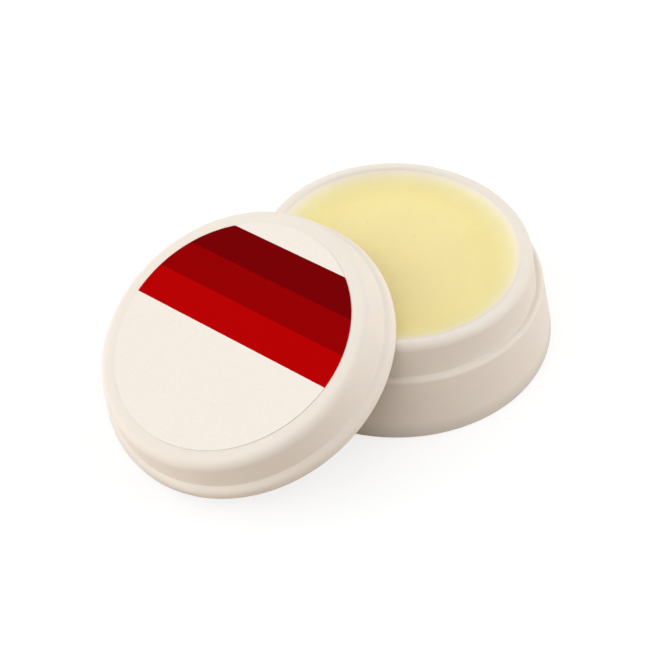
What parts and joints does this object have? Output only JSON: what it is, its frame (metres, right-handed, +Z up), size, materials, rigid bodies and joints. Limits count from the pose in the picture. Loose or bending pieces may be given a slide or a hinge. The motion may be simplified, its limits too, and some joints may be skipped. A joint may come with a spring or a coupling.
{
  "type": "fingertip moistener",
  "caption": "Low round plastic jar of pale yellow wax-like paste for moistening fingertips, with its labelled push-on lid taken off and leaning on the rim.",
  "frame": {"origin": "centre of the jar's flat underside, on the table", "axes": "+Z up along the jar's axis; the lid leans on the rim from the -X side"},
  "size_m": [0.0987, 0.0658, 0.0321],
  "materials": {
    "jar_plastic": "satin",
    "lid_plastic": "satin",
    "paste": "satin",
    "label_paper": "satin"
  },
  "bodies": {
    "jar": {"jar": "jar_plastic", "moistening_paste": "paste"},
    "lid": {"lid": "lid_plastic", "lid_label": "label_paper"}
  },
  "joints": [
    {"name": "lid_lift", "type": "slide", "parent": "jar", "child": "lid", "axis": [0, 0, 1], "range_m": [0, 0.05]}
  ]
}
